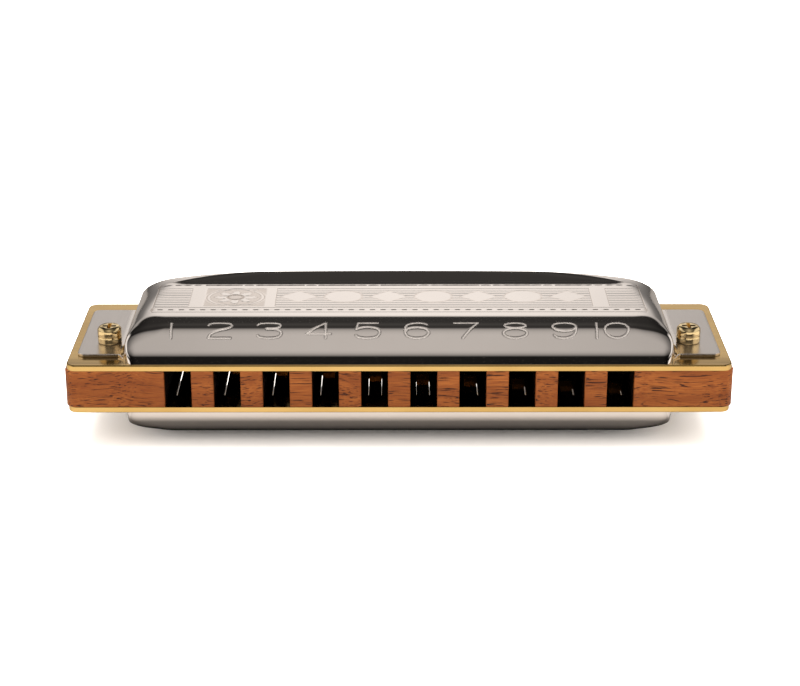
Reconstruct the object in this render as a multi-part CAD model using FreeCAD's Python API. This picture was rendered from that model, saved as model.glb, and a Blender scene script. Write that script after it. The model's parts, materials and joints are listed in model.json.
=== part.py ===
"""Ten-hole diatonic harmonica: comb, two reed plates, two covers, twenty reeds and the hardware.

Millimetres. X runs along the holes (hole 1 at -X), the mouth side faces -Y and +Z is up.
The origin is at the middle of the footprint, level with the lowest point of the lower cover.
"""

import math
import os

import FreeCAD
import Part

os.makedirs("parts", exist_ok=True)
V = FreeCAD.Vector

# Overall sizes. Depths are measured back from the front edge of the plates.
HOLES = 10
PITCH = 7.5
COMB_LENGTH = 102.0
DEPTH = 27.0
COMB_THICK = 6.0
PLATE_LENGTH = 101.5
PLATE_THICK = 0.9
CORNER_R = 1.5
PLATE_EDGE_R = 0.22

# Chambers and reeds. The slots all start at one depth and get shorter towards hole 10.
HOLE_WIDTH = 4.1
SLOT_FRONT = 4.8
SLOT_REAR = [19.0, 18.0, 17.0, 16.0, 14.6, 13.3, 12.6, 11.3, 10.4, 9.6]
SLOT_WIDTH = 2.1
CHAMBER_TAIL = 3.4
REED_WIDTH = 1.95
REED_THICK = 0.25
REED_TIP_GAP = 0.1
REED_SET = 0.021
ROOT_GAP = 0.04
ROOT_OVERLAP = 0.12
PAD_WIDTH = 2.8
PAD_LENGTH = 3.0
PAD_THICK = 0.4
RIVET_BACK = 1.7
RIVET_R = 0.6
RIVET_HEAD_R = 0.95
RIVET_HEAD = 0.3
RIVET_STUB_R = 0.8
RIVET_STUB = 0.25

# Cover sheet: its outside in side view as (depth, height above the plate), with corner radii.
SHEET = 0.5
PROFILE = [(0.4, 0.0), (0.8, 1.45), (3.55, 5.0), (6.9, 5.4), (22.0, 5.4), (24.7, 6.65)]
PROFILE_R = [0.0, 0.8, 1.3, 12.0, 2.2, 0.0]
COVER_RISE = 6.65
END_X = 42.3
ARCH_FOOT = 2.3
ARCH_X = 28.3
ARCH_TOP = 6.5
FRONT_CORNER_R = 1.8

# Tabs at the cover ends, and the bolts and cap nuts that clamp both covers.
TAB_END = 49.4
TAB_FRONT = 3.5
TAB_REAR = 22.9
TAB_R = 1.2
BOLT_X = 45.0
BOLT_DEPTH = 8.8
BOLT_HEAD_R = 1.85
BOLT_HEAD = 2.6
BOLT_R = 1.1
BOLT_HOLE_R = 1.3
NUT_HEIGHT = 2.0
NUT_BORE_R = 1.15
NUT_BORE = 1.45

# Screws that hold both reed plates to the comb, as (x, depth).
SCREWS = [(-39.0, 8.8), (39.0, 8.8), (-26.25, 24.3), (0.0, 24.3), (26.25, 24.3)]
SCREW_R = 0.8
SCREW_HEAD_R = 1.4
SCREW_HEAD = 0.6

# Levels.
LOW_PLATE_Z = COVER_RISE
COMB_Z = LOW_PLATE_Z + PLATE_THICK
HIGH_PLATE_Z = COMB_Z + COMB_THICK
TOP_Z = HIGH_PLATE_Z + PLATE_THICK
FRONT_Y = -DEPTH / 2


def hole_x(index):
    return (index - (HOLES - 1) / 2) * PITCH


def box(x0, x1, d0, d1, z0, z1):
    """A box from two x values, two depths and two heights."""
    return Part.makeBox(x1 - x0, d1 - d0, z1 - z0, V(x0, FRONT_Y + d0, z0))


def rod(radius, x, depth, z0, z1):
    return Part.makeCylinder(radius, z1 - z0, V(x, FRONT_Y + depth, z0))


def cone(r0, r1, x, depth, z0, z1):
    return Part.makeCone(r0, r1, z1 - z0, V(x, FRONT_Y + depth, z0))


def fuse(shapes):
    return shapes[0].multiFuse(shapes[1:]).removeSplitter()


def round_upright(shape, radius):
    """Round the vertical corners of a plate."""
    edges = [e for e in shape.Edges if abs(e.tangentAt(e.FirstParameter).z) > 0.99]
    return shape.makeFillet(radius, edges)


def level_edges(shape, z):
    return [e for e in shape.Edges if all(abs(v.Z - z) < 1e-6 for v in e.Vertexes)]


# ---------------------------------------------------------------- comb and plates


def screw_holes():
    return [rod(SCREW_R, x, d, LOW_PLATE_Z - 1, TOP_Z + 1) for x, d in SCREWS]


def bolt_holes():
    return [rod(BOLT_HOLE_R, s * BOLT_X, BOLT_DEPTH, -1, TOP_Z + 9) for s in (-1, 1)]


def comb():
    body = box(-COMB_LENGTH / 2, COMB_LENGTH / 2, 0, DEPTH, COMB_Z, HIGH_PLATE_Z)
    body = round_upright(body, CORNER_R)
    cuts = bolt_holes() + screw_holes()
    for i in range(HOLES):
        x = hole_x(i)
        half = HOLE_WIDTH / 2
        cuts.append(box(x - half, x + half, -1, SLOT_REAR[i] + CHAMBER_TAIL, COMB_Z - 1, HIGH_PLATE_Z + 1))
    return body.cut(cuts)


def reed_plate(z, edge_z):
    """A brass plate with ten reed slots; its outside rim, at edge_z, is rounded."""
    body = box(-PLATE_LENGTH / 2, PLATE_LENGTH / 2, 0, DEPTH, z, z + PLATE_THICK)
    body = round_upright(body, CORNER_R)
    body = body.makeFillet(PLATE_EDGE_R, level_edges(body, edge_z))
    cuts = bolt_holes() + screw_holes()
    for i in range(HOLES):
        x = hole_x(i)
        half = SLOT_WIDTH / 2
        cuts.append(box(x - half, x + half, SLOT_FRONT, SLOT_REAR[i], z - 1, z + PLATE_THICK + 1))
        cuts.append(rod(RIVET_R, x, SLOT_REAR[i] + RIVET_BACK, z - 1, z + PLATE_THICK + 1))
    if edge_z == z:
        for x, d in SCREWS:
            cuts.append(cone(SCREW_HEAD_R, SCREW_R, x, d, z, z + SCREW_HEAD))
    return body.cut(cuts)


# ---------------------------------------------------------------- reeds


def reed_tongue(index, z):
    """The free part of a reed under a plate whose underside is at z, tip set slightly open."""
    x = hole_x(index)
    root = FRONT_Y + SLOT_REAR[index] - ROOT_OVERLAP - ROOT_GAP
    tip = FRONT_Y + SLOT_FRONT + REED_TIP_GAP
    drop = (root - tip) * REED_SET
    left = x - REED_WIDTH / 2
    points = [V(left, root, z), V(left, tip, z - drop)]
    points += [V(left, tip, z - drop - REED_THICK), V(left, root, z - REED_THICK)]
    side = Part.Face(Part.makePolygon(points + points[:1]))
    return side.extrude(V(REED_WIDTH, 0, 0))


def reed_pads(z):
    """The fixed roots of the ten reeds, riveted against the underside of a plate at z."""
    pads = []
    for i in range(HOLES):
        x = hole_x(i)
        front = SLOT_REAR[i] - ROOT_OVERLAP
        pad = box(x - PAD_WIDTH / 2, x + PAD_WIDTH / 2, front, SLOT_REAR[i] + PAD_LENGTH, z - PAD_THICK, z)
        pads.append(pad.cut(rod(RIVET_R, x, SLOT_REAR[i] + RIVET_BACK, z - 1, z + 1)))
    return Part.makeCompound(pads)


def rivets(z):
    """One rivet per reed: head under the pad, shank through the plate, stub on top."""
    made = []
    for i in range(HOLES):
        at = (hole_x(i), SLOT_REAR[i] + RIVET_BACK)
        low = z - PAD_THICK
        high = z + PLATE_THICK
        head = cone(RIVET_HEAD_R * 0.7, RIVET_HEAD_R, *at, low - RIVET_HEAD, low)
        stub = cone(RIVET_STUB_R, RIVET_STUB_R * 0.7, *at, high, high + RIVET_STUB)
        made.append(fuse([head, rod(RIVET_R, *at, low, high), stub]))
    return Part.makeCompound(made)


# ---------------------------------------------------------------- covers


def offset_profile(points, inset):
    """Move every stretch of the open profile inwards by inset, keeping it parallel."""
    lines = []
    for (y0, z0), (y1, z1) in zip(points, points[1:]):
        length = ((y1 - y0) ** 2 + (z1 - z0) ** 2) ** 0.5
        uy = (y1 - y0) / length
        uz = (z1 - z0) / length
        lines.append((y0 + uz * inset, z0 - uy * inset, uy, uz))
    first = lines[0]
    last = lines[-1]
    moved = [(first[0], first[1])]
    for (ay, az, au, av), (by, bz, bu, bv) in zip(lines, lines[1:]):
        t = ((by - ay) * bv - (bz - az) * bu) / (au * bv - av * bu)
        moved.append((ay + t * au, az + t * av))
    y1, z1 = points[-1]
    moved.append((y1 + last[3] * inset, z1 - last[2] * inset))
    return moved


def rounded_edges(points, radii):
    """Edges of an open path in the YZ plane, with an arc at every corner that has a radius."""
    spots = [V(0, FRONT_Y + d, z) for d, z in points]
    edges = []
    start = spots[0]
    for i in range(1, len(spots) - 1):
        here = spots[i]
        back = (spots[i - 1] - here).normalize()
        on = (spots[i + 1] - here).normalize()
        bend = back.getAngle(on)
        reach = radii[i] / math.tan(bend / 2)
        middle = (back + on).normalize()
        a = here + back * reach
        b = here + on * reach
        far = ((reach**2 + radii[i] ** 2) ** 0.5) - radii[i]
        edges.append(Part.makeLine(start, a))
        edges.append(Part.Arc(a, here + middle * far, b).toShape())
        start = b
    edges.append(Part.makeLine(start, spots[-1]))
    return edges


def side_solid(inset):
    """The cover's side view, extruded along X; the inside one runs past the foot and the rear."""
    points = offset_profile(PROFILE, inset)
    radii = list(PROFILE_R)
    if inset:
        (y0, z0), (y1, z1) = points[:2]
        points[0] = (y0 - (y1 - y0), z0 - (z1 - z0))
        (y0, z0), (y1, z1) = points[-2:]
        points[-1] = (y1 + 2 * (y1 - y0), z1 + 2 * (z1 - z0))
        radii = [0, 0.3, 0.8, 11.5, 2.7, 0]
    edges = rounded_edges(points, radii)
    low = points[0][1]
    first = edges[0].Vertexes[0].Point
    last = edges[-1].Vertexes[-1].Point
    corner = V(0, last.y, low)
    edges += [Part.makeLine(last, corner), Part.makeLine(corner, first)]
    face = Part.Face(Part.Wire(edges))
    face.translate(V(-60, 0, 0))
    return face.extrude(V(120, 0, 0))


def arch_solid(inset):
    """The cover's end outline seen from the front, extruded along Y."""
    end = END_X - inset
    top = ARCH_TOP - inset
    low = -2.0 if inset else 0.0
    crown = Part.Arc(V(-ARCH_X, 0, top), V(0, 0, COVER_RISE - inset), V(ARCH_X, 0, top)).toShape()
    edges = [crown]
    for s in (-1, 1):
        shoulder = Part.Ellipse(V(s * end, 0, ARCH_FOOT), V(s * ARCH_X, 0, top), V(s * ARCH_X, 0, ARCH_FOOT))
        edges.append(Part.ArcOfEllipse(shoulder, 0, math.pi / 2).toShape())
        edges.append(Part.makeLine(V(s * end, 0, low), V(s * end, 0, ARCH_FOOT)))
    edges.append(Part.makeLine(V(-end, 0, low), V(end, 0, low)))
    face = Part.Face(Part.Wire(Part.__sortEdges__(edges)))
    face.translate(V(0, -30, 0))
    return face.extrude(V(0, 60, 0))


def plan_solid(inset):
    """The cover's outline seen from above, with rounded front corners."""
    front = PROFILE[0][0] + inset
    body = box(-END_X + inset, END_X - inset, front, 40, -3, 12)
    edges = [e for e in body.Edges if abs(e.tangentAt(e.FirstParameter).z) > 0.99]
    edges = [e for e in edges if e.Vertexes[0].Y < FRONT_Y + 2]
    return body.makeFillet(FRONT_CORNER_R - inset, edges)


def hood(inset):
    return side_solid(inset).common(arch_solid(inset)).common(plan_solid(inset))


def tab(side):
    """The flat end of the cover sheet; its front edge sweeps forward to the cover's foot."""
    body = box(38.0, TAB_END, TAB_FRONT, TAB_REAR, 0, SHEET)
    outer = [e for e in body.Edges if abs(e.tangentAt(e.FirstParameter).z) > 0.99]
    outer = [e for e in outer if e.Vertexes[0].X > 45]
    body = body.makeFillet(TAB_R, outer)
    points = [V(38.0, FRONT_Y + 0.4, 0), V(40.2, FRONT_Y + 0.4, 0)]
    sweep = Part.Arc(points[1], V(42.45, FRONT_Y + 1.45, 0), V(44.2, FRONT_Y + TAB_FRONT, 0)).toShape()
    last = V(44.2, FRONT_Y + TAB_FRONT, 0)
    edges = [Part.makeLine(*points), sweep, Part.makeLine(last, V(44.2, FRONT_Y + 5, 0))]
    edges.append(Part.makeLine(V(44.2, FRONT_Y + 5, 0), V(38.0, FRONT_Y + 5, 0)))
    edges.append(Part.makeLine(V(38.0, FRONT_Y + 5, 0), points[0]))
    body = body.fuse(Part.Face(Part.Wire(edges)).extrude(V(0, 0, SHEET))).removeSplitter()
    return body if side > 0 else body.mirror(V(0, 0, 0), V(1, 0, 0))


def cover():
    """A pressed cover standing on z = 0, open at the rear."""
    body = fuse([hood(0.0), tab(-1), tab(1)])
    holes = [rod(BOLT_HOLE_R, s * BOLT_X, BOLT_DEPTH, -1, 3) for s in (-1, 1)]
    return body.cut([hood(SHEET)] + holes)


def upper_cover():
    return cover().translated(V(0, 0, TOP_Z))


def lower_cover():
    return cover().mirror(V(0, 0, 0), V(0, 0, 1)).translated(V(0, 0, LOW_PLATE_Z))


# ---------------------------------------------------------------- hardware


def cross_recess(x, z_top, depth):
    """The cross-shaped driver recess in a bolt head."""
    arms = [box(x - 0.95, x + 0.95, BOLT_DEPTH - 0.25, BOLT_DEPTH + 0.25, z_top - depth, z_top + 1)]
    arms.append(box(x - 0.25, x + 0.25, BOLT_DEPTH - 0.95, BOLT_DEPTH + 0.95, z_top - depth, z_top + 1))
    return arms


def cover_bolt(side):
    x = side * BOLT_X
    seat = TOP_Z + SHEET
    top = seat + BOLT_HEAD
    head = rod(BOLT_HEAD_R, x, BOLT_DEPTH, seat, top - 0.35)
    bevel = cone(BOLT_HEAD_R, BOLT_HEAD_R - 0.4, x, BOLT_DEPTH, top - 0.35, top)
    shank = rod(BOLT_R, x, BOLT_DEPTH, LOW_PLATE_Z - SHEET - NUT_BORE + 0.05, seat)
    groove = rod(3, x, BOLT_DEPTH, seat + 1.15, seat + 1.25)
    groove = groove.cut(rod(BOLT_HEAD_R - 0.1, x, BOLT_DEPTH, seat, top))
    return fuse([head, bevel, shank]).cut([groove] + cross_recess(x, top, 1.3))


def cover_nut(side):
    """The slotted cap nut under the lower cover."""
    x = side * BOLT_X
    seat = LOW_PLATE_Z - SHEET
    low = seat - NUT_HEIGHT
    head = rod(BOLT_HEAD_R, x, BOLT_DEPTH, low + 0.35, seat)
    bevel = cone(BOLT_HEAD_R - 0.4, BOLT_HEAD_R, x, BOLT_DEPTH, low, low + 0.35)
    bore = rod(NUT_BORE_R, x, BOLT_DEPTH, seat - NUT_BORE, seat + 1)
    slot = box(x - 2, x + 2, BOLT_DEPTH - 0.3, BOLT_DEPTH + 0.3, low - 1, low + 0.4)
    return fuse([head, bevel]).cut([bore, slot])


def reed_plate_screws():
    """Countersunk screws from the lower plate, through the comb, into the upper plate."""
    made = []
    for x, d in SCREWS:
        head = cone(SCREW_HEAD_R, SCREW_R, x, d, LOW_PLATE_Z, LOW_PLATE_Z + SCREW_HEAD)
        shank = rod(SCREW_R, x, d, LOW_PLATE_Z + SCREW_HEAD, TOP_Z)
        slot = box(x - 2, x + 2, d - 0.15, d + 0.15, LOW_PLATE_Z - 1, LOW_PLATE_Z + 0.3)
        made.append(fuse([head, shank]).cut(slot))
    return Part.makeCompound(made)


# ---------------------------------------------------------------- export


def nodes():
    made = {
        "comb": comb(),
        "upper_reed_plate": reed_plate(HIGH_PLATE_Z, TOP_Z),
        "lower_reed_plate": reed_plate(LOW_PLATE_Z, LOW_PLATE_Z),
        "upper_cover": upper_cover(),
        "lower_cover": lower_cover(),
        "blow_reed_pads": reed_pads(HIGH_PLATE_Z),
        "draw_reed_pads": reed_pads(LOW_PLATE_Z),
        "blow_rivets": rivets(HIGH_PLATE_Z),
        "draw_rivets": rivets(LOW_PLATE_Z),
        "cover_bolt_left": cover_bolt(-1),
        "cover_bolt_right": cover_bolt(1),
        "cover_nut_left": cover_nut(-1),
        "cover_nut_right": cover_nut(1),
        "reed_plate_screws": reed_plate_screws(),
    }
    for i in range(HOLES):
        made["blow_reed_%02d" % (i + 1)] = reed_tongue(i, HIGH_PLATE_Z)
        made["draw_reed_%02d" % (i + 1)] = reed_tongue(i, LOW_PLATE_Z)
    return made


for name, shape in nodes().items():
    shape.exportStep("parts/%s.step" % name)
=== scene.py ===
"""Looks of a ten-hole diatonic harmonica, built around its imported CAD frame.

Lengths here are millimetres, turned into metres as each mesh is made. Depths are measured
back from the front edge of the reed plates, which is at y = FRONT_Y. Materials read object
coordinates, which are metres.
"""

import json
import math

import bmesh
import bpy
import numpy as np
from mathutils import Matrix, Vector


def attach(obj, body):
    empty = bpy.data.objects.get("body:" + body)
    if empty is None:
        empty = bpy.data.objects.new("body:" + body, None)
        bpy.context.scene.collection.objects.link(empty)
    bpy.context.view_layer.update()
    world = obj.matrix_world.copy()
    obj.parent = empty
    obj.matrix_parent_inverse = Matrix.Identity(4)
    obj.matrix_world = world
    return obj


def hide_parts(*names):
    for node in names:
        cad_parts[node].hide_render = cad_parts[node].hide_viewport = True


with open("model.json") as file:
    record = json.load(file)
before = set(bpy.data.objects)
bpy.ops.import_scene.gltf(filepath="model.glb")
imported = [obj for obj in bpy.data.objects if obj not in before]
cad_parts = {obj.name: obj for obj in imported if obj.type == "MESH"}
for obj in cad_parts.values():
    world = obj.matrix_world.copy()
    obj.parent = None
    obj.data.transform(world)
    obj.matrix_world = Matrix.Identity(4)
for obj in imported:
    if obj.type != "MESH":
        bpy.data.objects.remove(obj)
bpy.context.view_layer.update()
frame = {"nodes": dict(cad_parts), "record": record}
BODY = "harmonica_body"
MM = 0.001

# ---------------------------------------------------------------- sizes, as in the CAD
FRONT_Y = -13.5
HOLES = 10
PITCH = 7.5
LOW_PLATE_Z = 6.65
PLATE = 0.9
COMB_Z = LOW_PLATE_Z + PLATE
COMB_HEIGHT = 6.0
HIGH_PLATE_Z = COMB_Z + COMB_HEIGHT
TOP_Z = HIGH_PLATE_Z + PLATE
COMB_LENGTH = 102.0
DEPTH = 27.0
HOLE_WIDTH = 4.1
CHAMBER_REAR = [22.4, 21.4, 20.4, 19.4, 18.0, 16.7, 16.0, 14.7, 13.8, 13.0]
SHEET = 0.5

# A cover's section from front to rear as (depth, height), and the radius of each of its bends.
PROFILE = [(0.4, 0.0), (0.8, 1.45), (3.55, 5.03), (6.9, 5.4), (22.0, 5.4), (24.7, 6.65)]
UPPER_R = [0.0, 3.9, 3.3, 12.0, 2.5, 0.0]
LOWER_R = [0.0, 3.5, 5.9, 12.0, 2.2, 0.0]

# The arch across a cover: level as far as ARCH_X, then a part of an oval down to ARCH_FOOT. The power is
# 2 for an ellipse and more for a squarer oval; ease softens the front bend near the ends.
ARCH_X = 28.3
ARCH_FOOT = 2.3
ARCH_TOP = 6.5
ARCH_REACH = 13.55
UPPER_POWER = 2.4
LOWER_POWER = 2.25
UPPER_EASE = 1.4
LOWER_EASE = 2.4
REAR_POWER = 1.9
REAR_SAG = 0.4

# The end walls, and the tabs that the bolts hold.
WALL_ANGLE = 80.0
END_X = 42.1
FILLET_R = 0.8
CORNER_R = 1.9
TAB_END = 49.4
TAB_FRONT = 3.5
TAB_REAR = 22.9
TAB_R = 1.2
BOLT_X = 45.0
BOLT_DEPTH = 8.8

# Roundings of the sheet's own edges: rear, ends of the tabs, front of the tabs.
REAR_RIM_R = 0.23
END_RIM_R = 0.15
FRONT_RIM_R = 0.12


def hole_x(index):
    return (index - (HOLES - 1) / 2) * PITCH


def smooth(t):
    t = np.clip(t, 0.0, 1.0)
    return t * t * (3 - 2 * t)


def smooth_min(a, b, k):
    h = np.clip(0.5 + 0.5 * (b - a) / k, 0.0, 1.0)
    return b * (1 - h) + a * h - k * h * (1 - h)


def new_object(name, data):
    made = bpy.data.objects.new(name, data)
    bpy.context.scene.collection.objects.link(made)
    return made


def mesh_object(name, points, faces, material):
    """A new object from points in mm, smooth shaded except at its corners."""
    mesh = bpy.data.meshes.new(name)
    mesh.from_pydata((np.asarray(points) * MM).tolist(), [], faces)
    mesh.validate()
    mesh.materials.append(material)
    made = new_object(name, mesh)
    shade(made)
    return made


def shade(made, angle=40):
    for polygon in made.data.polygons:
        polygon.use_smooth = True
    made.data.set_sharp_from_angle(angle=math.radians(angle))


# ---------------------------------------------------------------- materials


class Nodes:
    """A material's node tree, with short calls for the nodes used here."""

    def __init__(self, name):
        self.material = bpy.data.materials.new(name)
        self.material.use_nodes = True
        self.tree = self.material.node_tree
        self.shader = self.tree.nodes["Principled BSDF"]

    def add(self, kind, **values):
        node = self.tree.nodes.new(kind)
        for key, value in values.items():
            if hasattr(node, key):
                setattr(node, key, value)
            else:
                node.inputs[key.replace("_", " ")].default_value = value
        return node

    def link(self, out, into):
        self.tree.links.new(out, into)

    def feed(self, value, into):
        """Gives an input a socket to read, a colour or a number."""
        if isinstance(value, bpy.types.NodeSocket):
            self.link(value, into)
        elif isinstance(value, tuple):
            into.default_value = (*value, 1.0)
        else:
            into.default_value = value

    def axes(self, output="Object"):
        """The X, Y and Z parts of the coordinates."""
        split = self.add("ShaderNodeSeparateXYZ")
        self.link(self.add("ShaderNodeTexCoord").outputs[output], split.inputs[0])
        return split.outputs

    def place(self, scale, drift=0.0):
        """Object coordinates, stretched per axis; drift sways them across X, in mm."""
        spot = self.add("ShaderNodeTexCoord").outputs["Object"]
        if drift:
            sway = self.add("ShaderNodeTexNoise", Scale=70.0, Detail=1.0)
            self.link(spot, sway.inputs["Vector"])
            shift = self.add("ShaderNodeVectorMath", operation="MULTIPLY_ADD")
            self.link(sway.outputs["Color"], shift.inputs[0])
            shift.inputs[1].default_value = (0.0, drift * MM, drift * MM)
            self.link(spot, shift.inputs[2])
            spot = shift.outputs[0]
        grow = self.add("ShaderNodeMapping", Scale=scale)
        self.link(spot, grow.inputs["Vector"])
        return grow.outputs["Vector"]

    def noise(self, scale, stretch=(1, 1, 1), detail=4.0, roughness=0.5, drift=0.0):
        node = self.add("ShaderNodeTexNoise", Scale=scale, Detail=detail, Roughness=roughness)
        self.link(self.place(stretch, drift), node.inputs["Vector"])
        return node.outputs["Fac"]

    def ramp(self, fac, stops):
        node = self.add("ShaderNodeValToRGB")
        elements = node.color_ramp.elements
        while len(elements) < len(stops):
            elements.new(0.5)
        for element, (at, colour) in zip(elements, stops):
            element.position = at
            element.color = (*colour, 1.0)
        self.link(fac, node.inputs["Fac"])
        return node.outputs["Color"]

    def span(self, fac, low, high, from_low=0.0, from_high=1.0):
        node = self.add("ShaderNodeMapRange")
        limits = {"From Min": from_low, "From Max": from_high, "To Min": low, "To Max": high}
        for key, value in limits.items():
            node.inputs[key].default_value = value
        self.link(fac, node.inputs["Value"])
        return node.outputs["Result"]

    def mix(self, fac, a, b, blend="MIX"):
        node = self.add("ShaderNodeMix", data_type="RGBA", blend_type=blend)
        for value, into in ((fac, 0), (a, 6), (b, 7)):
            self.feed(value, node.inputs[into])
        return node.outputs[2]

    def math(self, operation, a, b=0.0):
        node = self.add("ShaderNodeMath", operation=operation)
        self.feed(a, node.inputs[0])
        self.feed(b, node.inputs[1])
        return node.outputs[0]

    def bump(self, height, strength, distance):
        node = self.add("ShaderNodeBump", Strength=strength, Distance=distance)
        self.link(height, node.inputs["Height"])
        return node.outputs["Normal"]

    def set(self, **values):
        for key, value in values.items():
            self.feed(value, self.shader.inputs[key.replace("_", " ")])
        return self.material


def steel_material():
    """Polished steel, brushed up and over the sheet; the engraving, the numerals and the tabs are duller."""
    n = Nodes("polished_steel")
    haze = n.noise(90.0, (1, 1, 1), 3.0)
    brush = n.noise(5200.0, (1, 0.03, 0.03), 3.0, 0.6)
    cut = n.add("ShaderNodeAttribute", attribute_name="cut").outputs["Fac"]
    stamp = n.add("ShaderNodeAttribute", attribute_name="stamp").outputs["Fac"]
    tab = n.span(n.math("ABSOLUTE", n.axes()["X"]), 0.0, 0.22, 42.4 * MM, 43.4 * MM)
    tint = n.ramp(haze, [(0.3, (0.88, 0.82, 0.77)), (0.7, (0.85, 0.79, 0.74))])
    colour = n.mix(cut, tint, (0.74, 0.64, 0.56))
    worn = n.math("ADD", n.math("MULTIPLY", cut, 0.2), n.math("MULTIPLY", stamp, 0.3))
    rough = n.math("ADD", n.span(brush, 0.06, 0.09, 0.3, 0.7), n.math("ADD", worn, tab))
    normal = n.bump(brush, 0.04, 0.00002)
    metal = n.span(stamp, 1.0, 0.86)
    return n.set(Base_Color=colour, Metallic=metal, Roughness=rough, Normal=normal)


def drawn_metal(name, light, dark, rough_low, rough_high, grain, relief=0.04, inside_shade=None):
    """Metal with a fine drawn grain along X and slow tarnish.

    Given a colour for the inside, it takes that colour inside the instrument as painted shade. Just behind
    its front edge it is darkened by a painted shade that stands for the cover's dark foot mirrored there.
    """
    n = Nodes(name)
    tarnish = n.noise(55.0, (1, 1, 1), 4.0)
    lines = n.noise(grain, (0.03, 1, 1), 3.0)
    colour = n.mix(n.span(tarnish, 0.0, 1.0, 0.35, 0.7), light, dark)
    # Painted shade: darker just behind the front edge, and the inside colour under the covers.
    if inside_shade is not None:
        colour = n.mix(cover_foot_shade(n), colour, tuple(0.5 * c for c in dark))
        colour = n.mix(shade_under_cover(n), colour, inside_shade)
    rough = n.span(lines, rough_low, rough_high, 0.3, 0.7)
    normal = n.bump(lines, relief, 0.00003)
    return n.set(Base_Color=colour, Metallic=1.0, Roughness=rough, Normal=normal)


def wood_material():
    """Sealed reddish brown wood, grain along X, with short dark pores; the chamber walls take a painted
    shade, near black.
    """
    n = Nodes("comb_wood")
    figure = n.noise(420.0, (0.10, 1, 1), 5.0, 0.6, 4.0)
    fibre = n.noise(7500.0, (0.03, 1, 1), 4.0, 0.65, 4.0)
    pores = n.noise(5200.0, (0.035, 1, 1), 2.0, 0.5, 4.0)
    browns = [(0.3, (0.14, 0.037, 0.008)), (0.5, (0.20, 0.058, 0.012)), (0.72, (0.275, 0.088, 0.019))]
    body = n.ramp(figure, browns)
    streaked = n.mix(n.span(fibre, 0.0, 0.8, 0.42, 0.66), body, (0.13, 0.030, 0.007))
    pit = n.span(pores, 0.0, 1.0, 0.595, 0.625)
    outside = n.mix(pit, streaked, (0.028, 0.007, 0.003))
    # Painted shade: the chamber walls are coloured near black.
    colour = n.mix(chamber_shade_mask(n), outside, (0.012, 0.006, 0.004))
    rough = n.span(fibre, 0.34, 0.5, 0.3, 0.7)
    height = n.math("SUBTRACT", n.math("MULTIPLY", fibre, 0.25), pit)
    normal = n.bump(height, 0.5, 0.00004)
    return n.set(Base_Color=colour, Roughness=rough, Normal=normal, Specular_IOR_Level=0.15)


def cover_foot_shade(n):
    """Up to 0.75 just behind the front edge of a plate: a painted shade that stands for the cover's dark foot
    mirrored in the brass.
    """
    y = n.axes()["Y"]
    rise = n.span(y, 0.0, 0.75, (FRONT_Y + 0.15) * MM, (FRONT_Y + 0.8) * MM)
    fall = n.span(y, 1.0, 0.0, (FRONT_Y + 1.2) * MM, (FRONT_Y + 4.0) * MM)
    return n.math("MULTIPLY", rise, fall)


def shade_under_cover(n):
    """1 inside the instrument, below the top of the upper plate, where the brass takes a painted shade."""
    x, y, z = n.axes()
    behind = n.span(y, 0.0, 1.0, (FRONT_Y + 1.0) * MM, (FRONT_Y + 3.5) * MM)
    before = n.span(y, 1.0, 0.0, (FRONT_Y + 16.0) * MM, (FRONT_Y + 19.0) * MM)
    middle = n.math("LESS_THAN", n.math("ABSOLUTE", x), 40.0 * MM)
    below = n.math("LESS_THAN", z, (TOP_Z - 0.05) * MM)
    return n.math("MULTIPLY", n.math("MULTIPLY", behind, before), n.math("MULTIPLY", middle, below))


def chamber_shade_mask(n):
    """1 on the walls of the comb's chambers, where a painted shade goes, 0 on its outside."""
    x, y, _ = n.axes()
    behind_mouth = n.span(y, 0.0, 1.0, (FRONT_Y + 0.2) * MM, (FRONT_Y + 0.9) * MM)
    before_rear = n.span(y, 1.0, 0.0, (FRONT_Y + 24.0) * MM, (FRONT_Y + 24.5) * MM)
    between_ends = n.math("LESS_THAN", n.math("ABSOLUTE", x), 38.0 * MM)
    return n.math("MULTIPLY", n.math("MULTIPLY", behind_mouth, before_rear), between_ends)


def floor_material():
    """Pale paper. What the metal mirrors of it is greyer, with a painted shadow that is darkest under the
    object, and a dimmer painted shadow behind its ends.
    """
    n = Nodes("studio_floor")
    paper = n.noise(30.0, (1, 1, 1), 3.0)
    pale = n.ramp(paper, [(0.3, (0.91, 0.895, 0.87)), (0.7, (0.93, 0.915, 0.89))])
    x, y, _ = n.axes()
    # Painted shadow for what the metal mirrors: near black under the object, fading out 8.5 to 17.5 mm from
    # it, and dimmer behind its ends.
    aside = n.math("SUBTRACT", n.math("ABSOLUTE", x), 32.0 * MM)
    away = n.math("MAXIMUM", aside, n.math("ABSOLUTE", y))
    outside = n.span(away, 0.0, 1.0, 8.5 * MM, 17.5 * MM)
    mirrored_with_painted_shadow = n.mix(outside, (0.03, 0.029, 0.028), (0.325, 0.312, 0.297))
    behind = n.span(y, 0.0, 1.0, 12.0 * MM, 22.0 * MM)
    beside = n.span(aside, 0.0, 1.0, 2.0 * MM, 10.0 * MM)
    mirrored_with_painted_shadow = n.mix(n.math("MULTIPLY", behind, beside), mirrored_with_painted_shadow, (0.11, 0.105, 0.1))
    rays = n.add("ShaderNodeLightPath")
    colour = n.mix(rays.outputs["Is Camera Ray"], mirrored_with_painted_shadow, pale)
    return n.set(Base_Color=colour, Roughness=0.9, Specular_IOR_Level=0.1)


steel = steel_material()
# The inside faces of the covers: rougher than the outside, and darker than it as painted shade inside the
# instrument.
shaded_inner_steel = drawn_metal("rough_inner_steel_painted_shade", (0.58, 0.56, 0.54), (0.48, 0.46, 0.44), 0.34, 0.44, 2600.0)
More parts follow.
